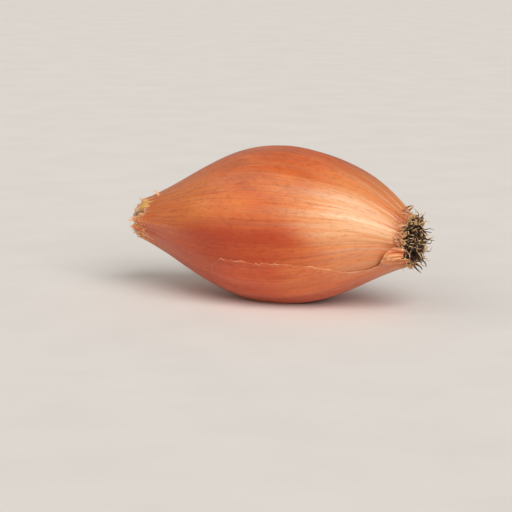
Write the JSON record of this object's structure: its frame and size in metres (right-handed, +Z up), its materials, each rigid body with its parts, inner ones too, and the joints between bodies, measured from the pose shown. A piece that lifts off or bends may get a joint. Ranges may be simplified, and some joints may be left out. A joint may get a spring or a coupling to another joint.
{
  "type": "shallot",
  "caption": "Long spindle-shaped shallot on its side: copper papery skin, torn dry neck at one end, root plate with a tuft of dry rootlets at the other.",
  "frame": {"origin": "on the ground, under the middle of the shallot's bounding box", "axes": "+X along the bulb from its neck towards its root plate, +Y across it, +Z up from the ground it lies on"},
  "size_m": [0.0842, 0.0412, 0.0394],
  "materials": {
    "dry_skin": "thin dry copper-orange onion skin with fine lengthwise veins and a soft sheen",
    "dried_leaves": "matt, crumpled, straw-yellow dried leaf bases",
    "old_skin": "thin dry older skin, paler than the one under it, with brown streaks and a torn edge",
    "dry_roots": "matt dark brown dried roots with straw-coloured ends"
  },
  "bodies": {
    "root": {"bulb": "dry_skin", "inner_leaves": "dried_leaves", "root_skin": "old_skin", "root_tuft": "dry_roots"}
  },
  "joints": []
}
